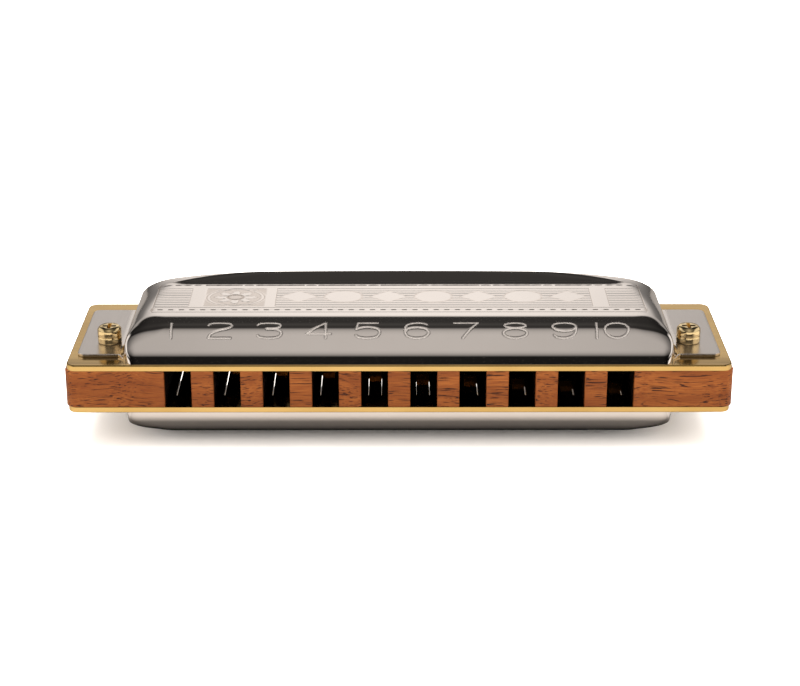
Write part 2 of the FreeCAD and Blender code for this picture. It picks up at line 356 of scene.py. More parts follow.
# Painted shade: the dark brass colour used inside the instrument, under the covers.
INSIDE_BRASS_SHADE = (0.22, 0.13, 0.045)
plate_brass = drawn_metal(
    "plate_brass", (0.74, 0.50, 0.185), (0.60, 0.385, 0.125), 0.12, 0.2, 2600.0, inside_shade=INSIDE_BRASS_SHADE
)
reed_brass = drawn_metal(
    "reed_brass", (0.5, 0.31, 0.11), (0.36, 0.21, 0.075), 0.1, 0.2, 3000.0, inside_shade=INSIDE_BRASS_SHADE
)
bolt_brass = drawn_metal("bolt_brass", (0.84, 0.66, 0.36), (0.74, 0.55, 0.27), 0.08, 0.15, 1500.0, 0.01)
screw_steel = drawn_metal("screw_steel", (0.62, 0.60, 0.58), (0.50, 0.49, 0.47), 0.2, 0.3, 800.0)
wood = wood_material()

# ---------------------------------------------------------------- engraved numerals


def curve_through(points, steps=8):
    """A smooth line through the points (Catmull-Rom), as a list of points."""
    p = [np.array(q, float) for q in points]
    p = [2 * p[0] - p[1]] + p + [2 * p[-1] - p[-2]]
    out = []
    for a, b, c, d in zip(p, p[1:], p[2:], p[3:]):
        for i in range(steps):
            t = i / steps
            square = (2 * a - 5 * b + 4 * c - d) * t**2
            cube = (3 * b - a - 3 * c + d) * t**3
            out.append(0.5 * (2 * b + (c - a) * t + square + cube))
    out.append(p[-2])
    return [tuple(q) for q in out]


def ring(cx, cy, rx, ry, steps=36):
    turn = [2 * math.pi * i / steps for i in range(steps + 1)]
    return [(cx + rx * math.cos(t), cy + ry * math.sin(t)) for t in turn]


# Strokes of the numerals in a box from (0, 0) to (1, 1), then their size on the cover in mm.
SIX = [(0.93, 0.84), (0.78, 0.97), (0.42, 1.0), (0.1, 0.82), (0.0, 0.47), (0.08, 0.14), (0.4, 0.0)]
SIX += [(0.8, 0.05), (1.0, 0.28), (0.86, 0.53), (0.5, 0.62), (0.16, 0.55), (0.02, 0.38)]
DIGITS = {
    0: [ring(0.5, 0.5, 0.5, 0.5)],
    1: [[(0.5, 0.0), (0.5, 1.0)]],
    2: [
        curve_through([(0.0, 0.80), (0.14, 0.97), (0.5, 1.0), (0.86, 0.96), (0.99, 0.76), (0.82, 0.56)]
                      + [(0.42, 0.42), (0.12, 0.24), (0.0, 0.0)]),
        [(0.0, 0.0), (0.93, 0.0)],
    ],
    3: [
        curve_through([(0.0, 0.82), (0.15, 0.97), (0.5, 1.0), (0.86, 0.95), (0.97, 0.76), (0.82, 0.57)]
                      + [(0.38, 0.53)]),
        curve_through([(0.38, 0.53), (0.85, 0.48), (1.0, 0.27), (0.86, 0.06), (0.48, 0.0), (0.12, 0.05)]
                      + [(0.0, 0.15)]),
    ],
    4: [[(0.8, 0.0), (0.8, 1.0), (0.0, 0.24), (1.0, 0.24)]],
    5: [
        [(0.92, 1.0), (0.1, 1.0), (0.02, 0.5)],
        curve_through([(0.02, 0.5), (0.28, 0.62), (0.62, 0.64), (0.92, 0.52), (1.0, 0.3), (0.86, 0.07)]
                      + [(0.48, 0.0), (0.12, 0.05), (0.0, 0.16)]),
    ],
    6: [curve_through(SIX)],
    7: [[(0.0, 1.0), (1.0, 1.0), (0.36, 0.0)]],
    8: [ring(0.5, 0.78, 0.44, 0.22), ring(0.5, 0.28, 0.5, 0.28)],
    9: [curve_through([(1 - u, 1 - v) for u, v in SIX])],
}
DIGIT_WIDTH = 3.62
DIGIT_HEIGHT = 2.85
DIGIT_STROKE = 0.23
DIGIT_DEPTH = 0.07
DIGIT_FRONT = 2.42

# How far the middle of each numeral is to the left of its hole's middle.
DIGIT_LEFT = 1.04
TEN_LEFT = 3.6
TEN_ZERO_LEFT = 0.55


def distance_to(points, line):
    """Distance from each of the points to a polyline."""
    best = np.full(len(points), 1e9)
    for a, b in zip(line, line[1:]):
        a = np.array(a)
        b = np.array(b)
        run = b - a
        t = np.clip(((points - a) @ run) / max(run @ run, 1e-12), 0, 1)
        best = np.minimum(best, np.linalg.norm(points - (a + t[:, None] * run), axis=1))
    return best


def number_lines(number, x, base):
    """The strokes of a hole's number on the cover, as polylines in (x, arc length)."""
    if number == 10:
        parts = [(1, x - TEN_LEFT, 0.0), (0, x - TEN_ZERO_LEFT, DIGIT_WIDTH)]
    else:
        parts = [(number, x - DIGIT_LEFT, 0.0 if number == 1 else DIGIT_WIDTH)]
    lines = []
    for digit, centre, width in parts:
        for stroke in DIGITS[digit]:
            lines.append([(centre + (u - 0.5) * width, base + v * DIGIT_HEIGHT) for u, v in stroke])
    return lines


# ---------------------------------------------------------------- the cover sheet


def rounded_path(points, radii, step=0.03):
    """Depth, height and arc length along a path whose corners are arcs."""
    p = [np.array(q, float) for q in points]
    out = [p[0]]
    for i in range(1, len(p) - 1):
        back = (p[i - 1] - p[i]) / np.linalg.norm(p[i - 1] - p[i])
        on = (p[i + 1] - p[i]) / np.linalg.norm(p[i + 1] - p[i])
        half = math.acos(np.clip(back @ on, -1, 1)) / 2
        reach = radii[i] / math.tan(half)
        centre = p[i] + (back + on) / np.linalg.norm(back + on) * (radii[i] / math.sin(half))
        a = p[i] + back * reach - centre
        b = p[i] + on * reach - centre
        turn = math.pi - 2 * half
        count = max(3, int(radii[i] * turn / step))
        for j in range(count + 1):
            t = j / count
            out.append(centre + (a * math.sin((1 - t) * turn) + b * math.sin(t * turn)) / math.sin(turn))
    out.append(p[-1])
    out = np.array(out)
    length = np.concatenate([[0], np.cumsum(np.linalg.norm(np.diff(out, axis=0), axis=1))])
    return out[:, 0], out[:, 1], length


class Profile:
    """The cover's section from front to rear, by arc length."""

    def __init__(self, points, radii):
        self.depths, self.heights, self.lengths = rounded_path(points, radii)
        self.end = self.lengths[-1]

    def depth(self, s):
        return np.interp(s, self.lengths, self.depths)

    def height(self, s):
        return np.interp(s, self.lengths, self.heights)

    def s_at(self, depth):
        return float(np.interp(depth, self.depths, self.lengths))


# Column and row kinds: a row uses the plain columns and those of its own kinds.
NUMBER = 1
DASH = 2
MEDAL = 4
BAND = 8
FRAME = 16

# Ornament on the flat panel, in mm: lines and dashes along it, three hatched panes, a rosette (the medal)
# and a band of blank shapes in the middle pane. DASH_ROWS are (depth position, groove depth).
HATCH_FRONT = 11.35
HATCH_REAR = 19.43
HATCH_STEP = 0.8
LINE_HALF = 0.08
LINE_DEPTH = 0.02
EDGE_LINES = [8.75, 10.75, 22.35]
DASH_ROWS = [(9.75, 0.04), (20.95, 0.06)]
DASH_STEP = 1.65
DASH_LENGTH = 0.85
DASH_WIDE = 0.36
EDGE_X = 38.4
PANES = [(-38.3, -32.9), (32.9, 38.3), (-19.4, 30.3)]
MEDAL_X = -25.8
MEDAL_HALF = 4.75
MEDAL_DEPTH = 4.2
MEDAL_MID = (HATCH_FRONT + HATCH_REAR) / 2
BAND_FRONT = 13.1
BAND_REAR = 18.3
BAND_SHAPES = 7
PANEL_FRONT = 7.6


def pane_depths():
    return np.arange(HATCH_FRONT, HATCH_REAR + 0.01, HATCH_STEP)


def groove(value, centre, half):
    """1 on the line at the centre, falling to 0 at half its width."""
    return np.clip(1 - np.abs(value - centre) / half, 0, 1)


def between(value, low, high, soft=0.06):
    """1 between low and high, falling to 0 at both."""
    return np.clip((value - low) / soft, 0, 1) * np.clip((high - value) / soft, 0, 1)


def medal_pattern(x, d):
    """An oval with a ring of petals, as groove depth 0 to 1."""
    u = (x - MEDAL_X) / MEDAL_HALF
    v = (d - MEDAL_MID) / (MEDAL_DEPTH - 0.15)
    r = np.hypot(u, v)
    turn = np.arctan2(v, u)
    petals = np.abs(np.cos(4 * turn))
    rings = groove(r, 0.96, 0.035) + groove(r, 0.84, 0.03) + groove(r, 0.24, 0.04)
    leaves = smooth((0.30 + 0.44 * petals - r) / 0.05) * smooth((r - 0.27) / 0.04)
    outline = leaves * (1 - leaves) * 4
    field = smooth((0.83 - r) / 0.03) * (1 - leaves) * 0.45
    return np.clip(rings + outline + field, 0, 1.2), r


def band_blank(x, d):
    """Where the hatching of the middle pane is left blank: a row of lozenges and ovals."""
    low, high = PANES[2]
    pitch = (high - low) / BAND_SHAPES
    index = np.floor((x - low) / pitch)
    u = (x - low - (index + 0.5) * pitch) / (0.42 * pitch)
    v = (d - (BAND_FRONT + BAND_REAR) / 2) / (0.5 * (BAND_REAR - BAND_FRONT))
    oval = np.hypot(u, v)
    lozenge = np.abs(u) + np.abs(v)
    return np.where(index % 2 == 0, lozenge, oval)


def ornament(x, d):
    """Groove depth over the panel, in mm."""
    ax = np.abs(x)
    depth = np.zeros_like(x)
    for line in EDGE_LINES:
        depth = np.maximum(depth, LINE_DEPTH * groove(d, line, LINE_HALF) * between(ax, -1, EDGE_X))
    sides = LINE_DEPTH * groove(ax, EDGE_X, LINE_HALF) * between(d, EDGE_LINES[0], EDGE_LINES[2])
    depth = np.maximum(depth, sides)
    for row, deep in DASH_ROWS:
        phase = np.abs((x / DASH_STEP) % 1.0 - 0.5) * DASH_STEP
        long_way = np.clip((DASH_LENGTH / 2 - phase) / 0.1, 0, 1)
        short_way = np.clip((DASH_WIDE / 2 - np.abs(d - row)) / 0.1, 0, 1)
        depth = np.maximum(depth, deep * long_way * short_way * (ax < EDGE_X - 0.5))
    blank = band_blank(x, d)
    for low, high in PANES:
        inside = between(x, low, high)
        edges = groove(x, low, LINE_HALF) + groove(x, high, LINE_HALF)
        depth = np.maximum(depth, LINE_DEPTH * edges * between(d, HATCH_FRONT, HATCH_REAR))
        for line in pane_depths():
            keep = inside
            if low == PANES[2][0]:
                keep = keep * smooth((blank - 0.96) / 0.08)
            depth = np.maximum(depth, LINE_DEPTH * groove(d, line, LINE_HALF) * keep)
    in_band = between(x, *PANES[2])
    depth = np.maximum(depth, 0.8 * LINE_DEPTH * groove(blank, 1.0, 0.07) * in_band)
    pattern, r = medal_pattern(x, d)
    in_medal = between(x, MEDAL_X - MEDAL_HALF, MEDAL_X + MEDAL_HALF) * between(d, HATCH_FRONT, HATCH_REAR)
    corners = smooth((r - 1.0) / 0.03) * 0.5
    depth = np.maximum(depth, LINE_DEPTH * 1.1 * in_medal * np.maximum(pattern * (r < 1.0), corners))
    return depth


def engraving(x, s, profile, numbers):
    """Groove depth over the whole cover, in mm, and the part of it that is fine ornament."""
    d = profile.depth(s)
    fine = np.where(d > PANEL_FRONT, ornament(x, d), 0.0)
    depth = fine.copy()
    if numbers:
        base = profile.s_at(DIGIT_FRONT)
        for i in range(HOLES):
            beside = np.abs(x - hole_x(i) + 1) < PITCH / 2
            where = np.nonzero(beside & (np.abs(s - base - DIGIT_HEIGHT / 2) < 2.4))
            spots = np.stack([x[where], s[where]], 1)
            best = np.full(len(spots), 1e9)
            for line in number_lines(i + 1, hole_x(i), base):
                best = np.minimum(best, distance_to(spots, line))
            cut = DIGIT_DEPTH * np.clip(1 - (best / DIGIT_STROKE) ** 2, 0, 1) ** 1.2
            depth[where] = np.maximum(depth[where], cut)
    return depth, fine


def cover_columns(numbers):
    """Columns across the cover as (x, arch height, kinds); kinds 0 are in every row."""
    level_end = 34.2
    half = [(x, None, 0) for x in np.arange(1.0, 34.0, 2.0)]
    lean = math.radians(WALL_ANGLE)
    for t in np.linspace(math.acos((level_end - ARCH_X) / ARCH_REACH), 0, 24):
        half.append((ARCH_X + ARCH_REACH * math.cos(t), None, 0))
    top_x = ARCH_X + ARCH_REACH
    top_z = ARCH_FOOT
    foot_z = SHEET + FILLET_R * (1 - math.cos(lean))
    foot_x = top_x + (top_z - foot_z) / math.tan(lean)
    for t in np.linspace(0, 1, 9)[1:]:
        half.append((top_x + (foot_x - top_x) * t, top_z + (foot_z - top_z) * t, 0))
    flat_x = foot_x + FILLET_R * math.sin(lean)
    for t in np.linspace(lean, 0, 15)[1:]:
        half.append((flat_x - FILLET_R * math.sin(t), SHEET + FILLET_R * (1 - math.cos(t)), 0))
    tab = [flat_x + 0.1, flat_x + 0.2, flat_x + 0.33]
    tab += list(np.linspace(flat_x + 0.5, TAB_END - TAB_R, 8))
    tab += [TAB_END - gap for gap in (1.0, 0.8, 0.6, 0.45, 0.3, 0.2, 0.12, 0.06, 0.02, 0.0)]
    half += [(x, SHEET, 0) for x in tab]
    columns = half + [(-x, a, k) for x, a, k in half]
    if numbers:
        for i in range(HOLES):
            left = -3.4 if i < HOLES - 1 else -4.0
            right = 1.3 if i < HOLES - 1 else 1.8
            columns += [(hole_x(i) + u, None, NUMBER) for u in np.arange(left, right, 0.106)]
    for k in range(-24, 25):
        centre = (k + 0.5) * DASH_STEP
        if abs(centre) < EDGE_X - 0.5:
            for u in (-DASH_LENGTH / 2, 0.1 - DASH_LENGTH / 2, DASH_LENGTH / 2 - 0.1, DASH_LENGTH / 2):
                columns.append((centre + u, None, DASH))
    across_line = (-LINE_HALF - 0.06, -LINE_HALF, 0, LINE_HALF, LINE_HALF + 0.06)
    for x in (*PANES[0], *PANES[1], *PANES[2], -EDGE_X, EDGE_X):
        columns += [(x + u, None, FRAME) for u in across_line]
    medal_columns = np.arange(MEDAL_X - MEDAL_HALF - 0.1, MEDAL_X + MEDAL_HALF + 0.15, 0.165)
    columns += [(x, None, MEDAL) for x in medal_columns]
    columns += [(x, None, BAND) for x in np.arange(*PANES[2], 0.33)]
    columns.sort(key=lambda c: c[0])
    kept = []
    for x, arch, kind in columns:
        if kept and x - kept[-1][0] < 0.012 and abs(x) < 42:
            last = kept[-1]
            both = 0 if 0 in (last[2], kind) else last[2] | kind
            kept[-1] = (last[0], last[1] if last[1] is not None else arch, both)
        else:
            kept.append((x, arch, kind))
    x = np.array([c[0] for c in kept])
    arch = np.array([0.0 if c[1] is None else c[1] for c in kept])
    return x, arch, np.array([c[2] for c in kept])


def arch_height(ax, fixed, d, front_power):
    """Height of the arch across the cover, squarer at the front than at the rear, where it also sags.

    Where fixed is above 0, on the end walls and the tabs, it is the height instead.
    """
    power = front_power + (REAR_POWER - front_power) * smooth((d - 10) / 13)
    u = np.clip((ax - ARCH_X) / ARCH_REACH, 0, 1)
    oval = ARCH_FOOT + (ARCH_TOP - ARCH_FOOT) * np.clip(1 - u**power, 0, 1) ** (1 / power)
    crown = 0.15 * (1 - np.clip(ax / ARCH_X, 0, 1) ** 2) + 0.25 * smooth((ARCH_X - ax) / ARCH_X)
    sag = REAR_SAG * smooth((ax - 21) / 10) * (1 - smooth((ax - 33) / 7)) * smooth((d - 19) / 5)
    return np.where(fixed > 0, fixed, oval + crown - sag)


def cover_rows(profile, numbers):
    """Rows up and over the cover as (arc length, kinds)."""
    at = profile.s_at
    rows = [(s, 0) for s in (0.0, 0.02, 0.05, 0.12, 0.3, 0.6, 0.9)]
    first = at(DIGIT_FRONT) - 0.45
    last = at(DIGIT_FRONT) + DIGIT_HEIGHT + 0.45
    rows += [(s, 0) for s in np.arange(1.1, first, 0.14)]
    rows += [(s, NUMBER * numbers) for s in np.arange(first, last, 0.093 if numbers else 0.14)]
    rows += [(s, 0) for s in np.arange(last + 0.12, at(8.4), 0.16)]
    panel = []
    for line in EDGE_LINES:
        panel += [(line + u, FRAME) for u in (-0.22, -0.13, -LINE_HALF, 0, LINE_HALF, 0.13, 0.22)]
    half = DASH_WIDE / 2
    for row, _ in DASH_ROWS:
        panel += [(row + u, DASH) for u in (-half - 0.15, -half - 0.05, -half, 0.1 - half)]
        panel += [(row - u, DASH) for u in (-half - 0.15, -half - 0.05, -half, 0.1 - half)]
    across_line = (-LINE_HALF - 0.05, -LINE_HALF, 0, LINE_HALF, LINE_HALF + 0.05)
    for line in pane_depths():
        panel += [(line + u, FRAME | MEDAL | BAND) for u in across_line]
    for d in np.arange(HATCH_FRONT - 0.1, HATCH_REAR + 0.15, 0.155):
        kinds = FRAME | MEDAL
        if BAND_FRONT - 0.3 < d < BAND_REAR + 0.3:
            kinds |= BAND
        panel.append((d, kinds))
    panel += [(d, FRAME) for d in (8.45, 11.05, 20.7, 21.0)]
    rows += [(at(d), k) for d, k in panel]
    rows += [(s, 0) for s in np.arange(at(22.65), profile.end - 0.35, 0.16)]
    rows += [(profile.end - gap, 0) for gap in (0.3, 0.24, 0.18, 0.12, 0.07, 0.03, 0.0)]
    rows.sort()
    kept = []
    for s, kind in rows:
        if kept and s - kept[-1][0] < 0.018:
            kept[-1] = (kept[-1][0], kept[-1][1] | kind)
        else:
            kept.append((s, kind))
    kept[-1] = (profile.end, 0)
    return np.array([r[0] for r in kept]), np.array([r[1] for r in kept])


def disc_shift(a, b, radius):
    """How far a square corner moves when it is rounded: a and b run 0 to 1 to its two sides."""
    return radius * a * (np.sqrt(1 - b * b / 2) - 1), radius * b * (np.sqrt(1 - a * a / 2) - 1)


def cover_points(x, arch, s, profile, front_power, ease):
    """The outside of the plain cover, as a grid of points [row, column, xyz]."""
    side = np.sign(x)[None, :] * np.ones_like(s)[:, None]
    ax = np.abs(x)[None, :] * np.ones_like(s)[:, None]
    d = profile.depth(s)[:, None] * np.ones_like(ax)
    arch = arch_height(ax, arch[None, :], d, front_power)
    f = profile.height(s)[:, None] * np.ones_like(ax)
    tab = smooth((ax - END_X + 0.45) / 1.5)

    # The bend between the section and the arch, which closes to a fold at the foot of the end wall.
    k = 0.32 + ease * (1 - smooth((d - 2.5) / 5)) * smooth((ax - 33) / 5) + 0.3 * (1 - smooth((d - 4) / 6))
    k = 0.02 + k * smooth((arch - SHEET) / 1.5)
    z = np.maximum(smooth_min(arch, f, k), SHEET * tab)

    # Over the tabs the rear edge comes forward and the front edge goes back.
    front, back = PROFILE[0][0], PROFILE[-1][0]
    rear = TAB_REAR + (back - TAB_REAR) * smooth((arch - SHEET) / 3.0)
    d = np.where(d > 18, 18 + (d - 18) * (rear - 18) / (back - 18), d)
    a = np.clip((ax - END_X + CORNER_R) / CORNER_R, 0, 1)
    b = np.clip((front + CORNER_R - d) / CORNER_R, 0, 1)
    dx, dd = disc_shift(a, b, CORNER_R)
    sweep = (TAB_FRONT - front) * tab * (1 - smooth((d - front) / 8))
    ax = ax + dx * (1 - tab)
    d = d - dd * (1 - tab) + sweep

    # The tab's own corners.
    a = np.clip((ax - TAB_END + TAB_R) / TAB_R, 0, 1)
    b = np.clip((TAB_FRONT + TAB_R - d) / TAB_R, 0, 1)
    dx, dd = disc_shift(a, b, TAB_R)
    c = np.clip((d - TAB_REAR + TAB_R) / TAB_R, 0, 1)
    ex, ed = disc_shift(a, c, TAB_R)
    return np.stack([side * (ax + dx + ex), FRONT_Y + d - dd + ed, z], -1)


def grid_normals(p):
    """Outward unit normals of a grid of points."""
    along = np.gradient(p, axis=1)
    up = np.gradient(p, axis=0)
    n = np.cross(along, up)
    return n / np.maximum(np.linalg.norm(n, axis=-1, keepdims=True), 1e-12)


def rim_drop(t, radius):
    """How far the face sinks at distance t from a rounded edge."""
    t = np.clip(t, 0, radius)
    return radius - np.sqrt(radius**2 - (radius - t) ** 2)


def stitch(rows, index):
    """Faces between (row, columns) pairs; columns may differ: quads, and triangles where they do."""
    faces = []
    for (j, low), (above, high) in zip(rows, rows[1:]):
        m = n = 0
        while m < len(low) - 1 or n < len(high) - 1:
            a = low[m + 1] if m < len(low) - 1 else 1e9
            b = high[n + 1] if n < len(high) - 1 else 1e9
            here = index[j, low[m]]
            over = index[above, high[n]]
            if a == b:
                faces.append((here, index[j, a], index[above, b], over))
                m += 1
                n += 1
            elif a < b:
                faces.append((here, index[j, a], over))
                m += 1
            else:
                faces.append((here, index[above, b], over))
                n += 1
    return faces


def cover(name, profile, upside_down, numbers):
    """A pressed cover with real thickness and real engraving, on its own reed plate."""
    x, arch, kinds = cover_columns(numbers)
    s, row_kinds = cover_rows(profile, numbers)
    shape = (LOWER_POWER, LOWER_EASE) if upside_down else (UPPER_POWER, UPPER_EASE)
    plain = cover_points(x, arch, s, profile, *shape)
    normal = grid_normals(plain)
    across = np.broadcast_to(x, plain.shape[:2]).copy()
    upward = np.broadcast_to(s[:, None], plain.shape[:2]).copy()
    cut, fine = engraving(across, upward, profile, numbers)
    edge = TAB_END - np.abs(x)
    round_off = np.maximum(rim_drop(profile.end - s, REAR_RIM_R)[:, None], rim_drop(edge, END_RIM_R)[None, :])
    on_tab = smooth((np.abs(x) - END_X) / 0.8)
    round_off = np.maximum(round_off, rim_drop(s, FRONT_RIM_R)[:, None] * on_tab[None, :])
    outer = plain - normal * (cut + round_off)[..., None]

    # The inner face lies under the outer one, and straight below it at the foot of the end walls.
    low = 1 - smooth((profile.height(s) - 1.0) / 1.5)
    near_foot = smooth((np.abs(x) - 41.2) / 0.8)[None, :] * low[:, None]
    under = normal * (1 - near_foot)[..., None] + np.array([0.0, 0.0, 1.0]) * near_foot[..., None]
    under /= np.linalg.norm(under, axis=-1, keepdims=True)
    inner = plain - under * (SHEET - round_off)[..., None]
    inner[..., 2] = np.maximum(inner[..., 2], 0.0)

    last = len(s) - 1
    plain_columns = np.nonzero(kinds == 0)[0].tolist()
    inner_rows = [0]
    for j in range(1, last):
        if s[j] < 1.0 or s[j] > profile.end - 0.35 or s[j] - s[inner_rows[-1]] > 0.28:
            inner_rows.append(j)
    inner_rows.append(last)
    everywhere = [(j, plain_columns) for j in inner_rows]
    chosen = []
    for j, row in enumerate(row_kinds):
        chosen.append((j, np.nonzero((kinds == 0) | ((kinds & row) > 0))[0].tolist()))

    points = []
    cuts = []
    stamps = []
    outer_index = {}
    inner_index = {}
    sides = ((outer_index, outer, fine, chosen), (inner_index, inner, fine * 0, everywhere))
    for table, grid, depth, picks in sides:
        for j, row in picks:
            for i in row:
                table[j, i] = len(points)
                points.append(grid[j, i])
                cuts.append(depth[j, i])
                stamps.append(cut[j, i] - fine[j, i])

    faces = stitch(chosen, outer_index)
    inside_from = len(faces)
    faces += [tuple(reversed(face)) for face in stitch(everywhere, inner_index)]
    inside_to = len(faces)
    for a, b in zip(plain_columns, plain_columns[1:]):
        faces.append((outer_index[0, b], outer_index[0, a], inner_index[0, a], inner_index[0, b]))
        faces.append((outer_index[last, a], outer_index[last, b], inner_index[last, b], inner_index[last, a]))
    first, final = plain_columns[0], plain_columns[-1]
    for j, above in zip(inner_rows, inner_rows[1:]):
        left = [outer_index[i, first] for i in range(j, above + 1)]
        right = [outer_index[i, final] for i in range(above, j - 1, -1)]
        faces.append((*left, inner_index[above, first], inner_index[j, first]))
        faces.append((*right, inner_index[j, final], inner_index[above, final]))

    points = np.array(points)
    if upside_down:
        points[:, 2] = LOW_PLATE_Z - points[:, 2]
        faces = [tuple(reversed(face)) for face in faces]
    else:
        points[:, 2] += TOP_Z
    made = mesh_object(name, points, faces, steel)
    # The inside faces take the rougher steel, darkened as painted shade.
    made.data.materials.append(shaded_inner_steel)
    inside = np.zeros(len(faces), dtype=np.int32)
    inside[inside_from:inside_to] = 1
    made.data.polygons.foreach_set("material_index", inside)
    for key, values, deepest in (("cut", cuts, LINE_DEPTH), ("stamp", stamps, DIGIT_DEPTH)):
        share = np.clip(np.array(values, dtype=np.float32) / deepest, 0, 1)
        made.data.attributes.new(key, "FLOAT", "POINT").data.foreach_set("value", share)
    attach(made, BODY)
    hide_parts("lower_cover" if upside_down else "upper_cover")


# ---------------------------------------------------------------- comb


def comb():
    """The wooden comb: one block, its chambers open to the front, with eased edges."""
    bm = bmesh.new()
    half = COMB_LENGTH / 2
    corner = 1.5
    outline = []

    def quarter(cx, cd, start):
        for i in range(7):
            t = math.radians(start + 15 * i)
            outline.append((cx + corner * math.cos(t), cd + corner * math.sin(t)))

    quarter(half - corner, DEPTH - corner, 0)
    quarter(-half + corner, DEPTH - corner, 90)
    quarter(-half + corner, corner, 180)
    for i in range(HOLES):
        left = hole_x(i) - HOLE_WIDTH / 2
        right = hole_x(i) + HOLE_WIDTH / 2
        rear = CHAMBER_REAR[i]
        outline += [(left, 0.0), (left, rear), (right, rear), (right, 0.0)]
    quarter(half - corner, corner, 270)
    verts = [bm.verts.new((x * MM, (FRONT_Y + d) * MM, COMB_Z * MM)) for x, d in outline]
    floor = bm.faces.new(verts)
    top = bmesh.ops.extrude_face_region(bm, geom=[floor])
    raised = [g for g in top["geom"] if isinstance(g, bmesh.types.BMVert)]
    bmesh.ops.translate(bm, verts=raised, vec=(0, 0, COMB_HEIGHT * MM))
    bmesh.ops.recalc_face_normals(bm, faces=bm.faces)
    mesh = bpy.data.meshes.new("wooden_comb")
    bm.to_mesh(mesh)
    bm.free()
    mesh.materials.append(wood)
    made = new_object("wooden_comb", mesh)
    bevel = made.modifiers.new("eased", "BEVEL")
    bevel.width = 0.16 * MM
    bevel.segments = 3
    bevel.limit_method = "ANGLE"
    bevel.angle_limit = math.radians(50)
    apply_modifiers(made)
    shade(made, 35)
    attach(made, BODY)
    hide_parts("comb")


def apply_modifiers(made):
    graph = bpy.context.evaluated_depsgraph_get()
    mesh = bpy.data.meshes.new_from_object(made.evaluated_get(graph))
    made.modifiers.clear()
    made.data = mesh


# ---------------------------------------------------------------- bolts


def lathe(profile, steps=72):
    """Points and faces of a turned solid from (radius, height) pairs, closed at both ends."""
    points = []
    faces = []
    for r, z in profile:
        for i in range(steps):
            t = 2 * math.pi * i / steps
            points.append((r * math.cos(t), r * math.sin(t), z))
    for j in range(len(profile) - 1):
        for i in range(steps):
            k = (i + 1) % steps
            faces.append((j * steps + i, j * steps + k, (j + 1) * steps + k, (j + 1) * steps + i))
    faces.append(tuple(reversed(range(steps))))
    faces.append(tuple(range((len(profile) - 1) * steps, len(profile) * steps)))
    return points, faces


def cross_cutter(top, depth):
    """A tapered cross-shaped punch for the driver recess."""
    outline = []
    arm, web = 1.12, 0.30
    for quarter in range(4):
        t = quarter * math.pi / 2
        for u, v in ((arm, -web), (arm, web), (web, web)):
            outline.append((u * math.cos(t) - v * math.sin(t), u * math.sin(t) + v * math.cos(t)))
    points = [(u * 1.02, v * 1.02, top + 0.3) for u, v in outline]
    points += [(u * 0.55, v * 0.8, top - depth) for u, v in outline]
    n = len(outline)
    faces = [tuple(range(n)), tuple(reversed(range(n, 2 * n)))]
    faces += [((i + 1) % n, i, n + i, n + (i + 1) % n) for i in range(n)]
    return points, faces


# Turned sections as (radius, height) from the underside of the head, or of the nut.
BOLT_PROFILE = [(1.1, -10.0), (1.1, 0.0), (1.62, 0.0), (1.78, 0.05), (1.84, 0.16), (1.85, 0.3), (1.85, 1.10)]
BOLT_PROFILE += [(1.84, 1.14), (1.77, 1.17), (1.76, 1.22), (1.77, 1.27), (1.84, 1.30), (1.85, 1.34)]
BOLT_PROFILE += [(1.85, 2.12), (1.83, 2.20), (1.78, 2.27), (1.58, 2.52), (1.52, 2.57), (1.45, 2.60)]
NUT_PROFILE = [(1.4, 0.0), (1.48, 0.02), (1.80, 0.30), (1.85, 0.42), (1.85, 1.86), (1.80, 1.98), (1.72, 2.0)]


def cut_out(made, points, faces):
    """Cuts a closed shape, given in mm about the origin, out of a new object."""
    mesh = bpy.data.meshes.new("punch")
    mesh.from_pydata([tuple(c * MM for c in p) for p in points], [], faces)
    punch = new_object("punch", mesh)
    cut = made.modifiers.new("recess", "BOOLEAN")
    cut.object = punch
    cut.operation = "DIFFERENCE"
    cut.solver = "EXACT"
    bpy.context.view_layer.update()
    apply_modifiers(made)
    bpy.data.objects.remove(punch)


def fastener(name, node, x, z, profile, punch):
    """A bolt or a nut: a turned solid with a recess, set down at x and z."""
    points, faces = lathe(profile)
    made = mesh_object(name, points, faces, bolt_brass)
    cut_out(made, *punch)
    place = Vector((x * MM, (FRONT_Y + BOLT_DEPTH) * MM, z * MM))
    for vertex in made.data.vertices:
        vertex.co = vertex.co + place
    shade(made, 30)
    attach(made, BODY)
    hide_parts(node)


def slot_punch(half, low):
    """A bar for the driver slot across a nut, as points and faces."""
    corners = ((-3, -half), (3, -half), (3, half), (-3, half))
    points = [(x, y, z) for z in (-1.0, low) for x, y in corners]
    return points, [(3, 2, 1, 0), (4, 5, 6, 7), (0, 1, 5, 4), (1, 2, 6, 5), (2, 3, 7, 6), (3, 0, 4, 7)]


# ---------------------------------------------------------------- build

cover("engraved_upper_cover", Profile(PROFILE, UPPER_R), False, True)
cover("engraved_lower_cover", Profile(PROFILE, LOWER_R), True, False)
comb()
BOLT_Z = TOP_Z + SHEET
NUT_Z = LOW_PLATE_Z - SHEET - 2.0
for side, x in (("left", -BOLT_X), ("right", BOLT_X)):
    fastener("turned_bolt_" + side, "cover_bolt_" + side, x, BOLT_Z, BOLT_PROFILE, cross_cutter(2.6, 1.25))
    fastener("turned_nut_" + side, "cover_nut_" + side, x, NUT_Z, NUT_PROFILE, slot_punch(0.3, 0.4))

# The pieces that show as designed take their material by slot.
SLOT_MATERIAL = {"plate_brass": plate_brass, "reed_brass": reed_brass, "screw_steel": screw_steel}
for subpart in frame["record"]["subparts"]:
    node = frame["nodes"][subpart["node"]]
    if subpart["material_slot"] in SLOT_MATERIAL:
        for place in node.material_slots:
            place.material = SLOT_MATERIAL[subpart["material_slot"]]

# ---------------------------------------------------------------- floor, light and camera


